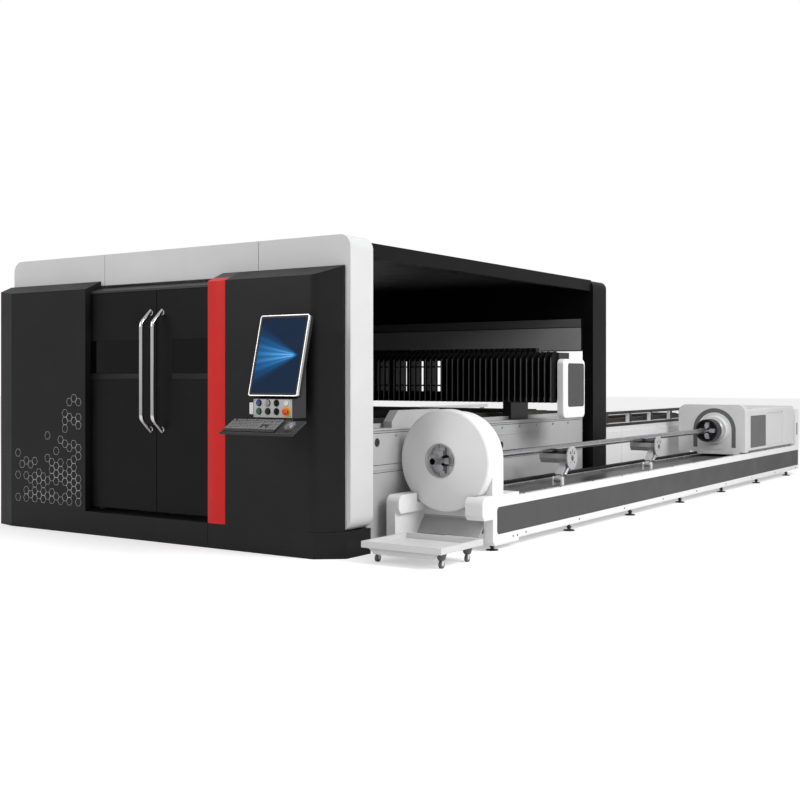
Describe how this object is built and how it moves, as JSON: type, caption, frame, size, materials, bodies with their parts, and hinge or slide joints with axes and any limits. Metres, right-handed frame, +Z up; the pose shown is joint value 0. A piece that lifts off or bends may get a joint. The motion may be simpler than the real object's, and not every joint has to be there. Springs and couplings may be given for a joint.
{
  "type": "fiber laser cutting machine",
  "caption": "Enclosed sheet laser cutter with sliding doors, gantry, pallet changer behind and a long tube-cutting unit with chucks along its right side.",
  "frame": {"origin": "centre of the machine's overall box at floor level", "axes": "+Z up, +Y from the operator's front towards the pallet changer and the tube unit's far end, +X to the operator's right"},
  "size_m": [4.348, 9.412, 2.2],
  "materials": {
    "black_paint": "satin",
    "light_grey_paint": "satin",
    "red_paint": "satin",
    "white_paint": "satin",
    "bed_grey_paint": "satin",
    "dark_grey_paint": "satin",
    "steel": "brushed",
    "chrome_tube": "polished",
    "silver_plastic": "satin",
    "screen_glass": "gloss",
    "black_plastic": "matte",
    "blue_plastic": "gloss",
    "green_plastic": "gloss",
    "red_plastic": "gloss",
    "black_rubber": "matte"
  },
  "bodies": {
    "machine": {"portal_frame": "light_grey_paint", "base_plinth": "black_paint", "left_box": "black_paint", "control_cabinet": "black_paint", "red_column": "red_paint", "door_header": "black_paint", "enclosure_panels": "black_paint", "rear_portal": "black_paint", "sheet_bed": "bed_grey_paint", "exchange_base": "white_paint", "control_box": "silver_plastic", "tube_bed": "white_paint", "bed_side_panel": "dark_grey_paint", "levelling_feet": "black_rubber", "chuck_base": "white_paint", "chute_panel": "bed_grey_paint", "front_chuck_bracket": "white_paint"},
    "left_door": {"door_left": "black_paint", "handle_left": "chrome_tube"},
    "right_door": {"door_right": "black_paint", "handle_right": "chrome_tube"},
    "gantry": {"gantry_beam": "black_paint", "bellows_cover": "black_rubber", "gantry_end_cap": "white_paint"},
    "head_carriage": {"head_carriage": "dark_grey_paint"},
    "laser_head": {"laser_head": "steel"},
    "upper_pallet": {"upper_pallet": "steel"},
    "lower_pallet": {"lower_pallet": "steel"},
    "monitor": {"monitor_housing": "silver_plastic", "monitor_screen": "screen_glass"},
    "keyboard_tray": {"keyboard_tray": "silver_plastic", "keyboard": "black_plastic", "mouse": "black_plastic"},
    "start_button": {"start_button": "green_plastic"},
    "reset_button": {"reset_button": "blue_plastic"},
    "light_button": {"light_button": "black_plastic"},
    "key_switch": {"key_switch": "steel"},
    "selector_upper": {"selector_upper": "black_plastic"},
    "selector_lower": {"selector_lower": "black_plastic"},
    "emergency_stop": {"emergency_stop": "red_plastic"},
    "front_spindle": {"front_spindle": "white_paint"},
    "rear_carriage": {"rear_chuck_housing": "light_grey_paint", "rear_drive_cover": "light_grey_paint"},
    "rear_spindle": {"rear_spindle": "steel", "workpiece_tube": "steel"},
    "support_front": {"support_arm_front": "bed_grey_paint"},
    "support_rear": {"support_arm_rear": "bed_grey_paint"},
    "roller_front": {"support_roller_front": "black_rubber"},
    "roller_rear": {"support_roller_rear": "black_rubber"},
    "cart": {"cart_tray": "light_grey_paint"},
    "cart_wheels_front": {"cart_wheels_front": "black_rubber"},
    "cart_wheels_rear": {"cart_wheels_rear": "black_rubber"},
    "front_jaw_top": {"front_jaw_top": "steel"},
    "rear_jaw_top": {"rear_jaw_top": "steel"},
    "front_jaw_right": {"front_jaw_right": "steel"},
    "rear_jaw_right": {"rear_jaw_right": "steel"},
    "front_jaw_bottom": {"front_jaw_bottom": "steel"},
    "rear_jaw_bottom": {"rear_jaw_bottom": "steel"},
    "front_jaw_left": {"front_jaw_left": "steel"},
    "rear_jaw_left": {"rear_jaw_left": "steel"}
  },
  "joints": [
    {"name": "left_door_slide", "type": "slide", "parent": "machine", "child": "left_door", "axis": [-1, 0, 0], "range_m": [0, 0.48]},
    {"name": "right_door_slide", "type": "slide", "parent": "machine", "child": "right_door", "axis": [1, 0, 0], "range_m": [0, 0.48]},
    {"name": "gantry_slide", "type": "slide", "parent": "machine", "child": "gantry", "axis": [0, 1, 0], "range_m": [-1.55, 0.7]},
    {"name": "head_carriage_slide", "type": "slide", "parent": "gantry", "child": "head_carriage", "axis": [1, 0, 0], "range_m": [-0.9, 0.4]},
    {"name": "head_lift", "type": "slide", "parent": "head_carriage", "child": "laser_head", "axis": [0, 0, 1], "range_m": [-0.03, 0.12]},
    {"name": "upper_pallet_slide", "type": "slide", "parent": "machine", "child": "upper_pallet", "axis": [0, 1, 0], "range_m": [0, 3.74]},
    {"name": "lower_pallet_slide", "type": "slide", "parent": "machine", "child": "lower_pallet", "axis": [0, -1, 0], "range_m": [0, 3.74]},
    {"name": "monitor_tilt", "type": "hinge", "parent": "machine", "child": "monitor", "pos_m": [1.046, -4.37097, 1.37379], "axis": [1, 0, 0], "range_deg": [-8, 0]},
    {"name": "tray_fold", "type": "hinge", "parent": "machine", "child": "keyboard_tray", "pos_m": [1.066, -4.53798, 0.941], "axis": [1, 0, 0], "range_deg": [-25, 60]},
    {"name": "start_button_press", "type": "slide", "parent": "machine", "child": "start_button", "axis": [0, 1, 0], "range_m": [0, 0.004], "stiffness_N_per_m": 400},
    {"name": "reset_button_press", "type": "slide", "parent": "machine", "child": "reset_button", "axis": [0, 1, 0], "range_m": [0, 0.004], "stiffness_N_per_m": 400},
    {"name": "light_button_press", "type": "slide", "parent": "machine", "child": "light_button", "axis": [0, 1, 0], "range_m": [0, 0.004], "stiffness_N_per_m": 400},
    {"name": "emergency_stop_press", "type": "slide", "parent": "machine", "child": "emergency_stop", "axis": [0, 1, 0], "range_m": [0, 0.004]},
    {"name": "key_switch_turn", "type": "hinge", "parent": "machine", "child": "key_switch", "pos_m": [1.005, -4.50398, 1.056], "axis": [0, 1, 0], "range_deg": [0, 90]},
    {"name": "selector_upper_turn", "type": "hinge", "parent": "machine", "child": "selector_upper", "pos_m": [1.08, -4.50398, 1.056], "axis": [0, 1, 0], "range_deg": [-45, 45]},
    {"name": "selector_lower_turn", "type": "hinge", "parent": "machine", "child": "selector_lower", "pos_m": [1.08, -4.50398, 1], "axis": [0, 1, 0], "range_deg": [-45, 45]},
    {"name": "rear_carriage_slide", "type": "slide", "parent": "machine", "child": "rear_carriage", "axis": [0, 1, 0], "range_m": [-1.7, 0.05]},
    {"name": "rear_spindle_turn", "type": "hinge", "parent": "rear_carriage", "child": "rear_spindle", "pos_m": [1.696, 2.19602, 0.635], "axis": [0, 1, 0], "continuous": true},
    {"name": "front_spindle_turn", "type": "hinge", "parent": "machine", "child": "front_spindle", "pos_m": [1.696, -3.38398, 0.635], "axis": [0, 1, 0], "continuous": true},
    {"name": "front_jaw_top_slide", "type": "slide", "parent": "front_spindle", "child": "front_jaw_top", "axis": [0, 0, 1], "range_m": [0, 0.016]},
    {"name": "front_jaw_right_slide", "type": "slide", "parent": "front_spindle", "child": "front_jaw_right", "axis": [1, 0, 0], "range_m": [0, 0.016]},
    {"name": "front_jaw_bottom_slide", "type": "slide", "parent": "front_spindle", "child": "front_jaw_bottom", "axis": [0, 0, -1], "range_m": [0, 0.016]},
    {"name": "front_jaw_left_slide", "type": "slide", "parent": "front_spindle", "child": "front_jaw_left", "axis": [-1, 0, 0], "range_m": [0, 0.016]},
    {"name": "rear_jaw_top_slide", "type": "slide", "parent": "rear_spindle", "child": "rear_jaw_top", "axis": [0, 0, 1], "range_m": [0, 0.016]},
    {"name": "rear_jaw_right_slide", "type": "slide", "parent": "rear_spindle", "child": "rear_jaw_right", "axis": [1, 0, 0], "range_m": [0, 0.016]},
    {"name": "rear_jaw_bottom_slide", "type": "slide", "parent": "rear_spindle", "child": "rear_jaw_bottom", "axis": [0, 0, -1], "range_m": [0, 0.016]},
    {"name": "rear_jaw_left_slide", "type": "slide", "parent": "rear_spindle", "child": "rear_jaw_left", "axis": [-1, 0, 0], "range_m": [0, 0.016]},
    {"name": "support_front_swing", "type": "hinge", "parent": "machine", "child": "support_front", "pos_m": [1.781, -1.72398, 0.384], "axis": [1, 0, 0], "range_deg": [-35, 0]},
    {"name": "roller_front_turn", "type": "hinge", "parent": "support_front", "child": "roller_front", "pos_m": [1.696, -1.57398, 0.58341], "axis": [1, 0, 0], "continuous": true},
    {"name": "support_rear_swing", "type": "hinge", "parent": "machine", "child": "support_rear", "pos_m": [1.781, 0.23602, 0.384], "axis": [1, 0, 0], "range_deg": [-35, 0]},
    {"name": "roller_rear_turn", "type": "hinge", "parent": "support_rear", "child": "roller_rear", "pos_m": [1.696, 0.38602, 0.58341], "axis": [1, 0, 0], "continuous": true},
    {"name": "cart_roll", "type": "slide", "parent": "machine", "child": "cart", "axis": [0, -1, 0], "range_m": [0, 0.6]},
    {"name": "cart_wheels_front_turn", "type": "hinge", "parent": "cart", "child": "cart_wheels_front", "pos_m": [1.863, -4.09398, 0.025], "axis": [1, 0, 0], "continuous": true},
    {"name": "cart_wheels_rear_turn", "type": "hinge", "parent": "cart", "child": "cart_wheels_rear", "pos_m": [1.863, -3.76898, 0.025], "axis": [1, 0, 0], "continuous": true}
  ],
  "couplings": [
    {"joint": "front_spindle_turn", "follows": "rear_spindle_turn", "ratio": 1},
    {"joint": "front_jaw_right_slide", "follows": "front_jaw_top_slide", "ratio": 1},
    {"joint": "front_jaw_bottom_slide", "follows": "front_jaw_top_slide", "ratio": 1},
    {"joint": "front_jaw_left_slide", "follows": "front_jaw_top_slide", "ratio": 1},
    {"joint": "rear_jaw_right_slide", "follows": "rear_jaw_top_slide", "ratio": 1},
    {"joint": "rear_jaw_bottom_slide", "follows": "rear_jaw_top_slide", "ratio": 1},
    {"joint": "rear_jaw_left_slide", "follows": "rear_jaw_top_slide", "ratio": 1}
  ]
}
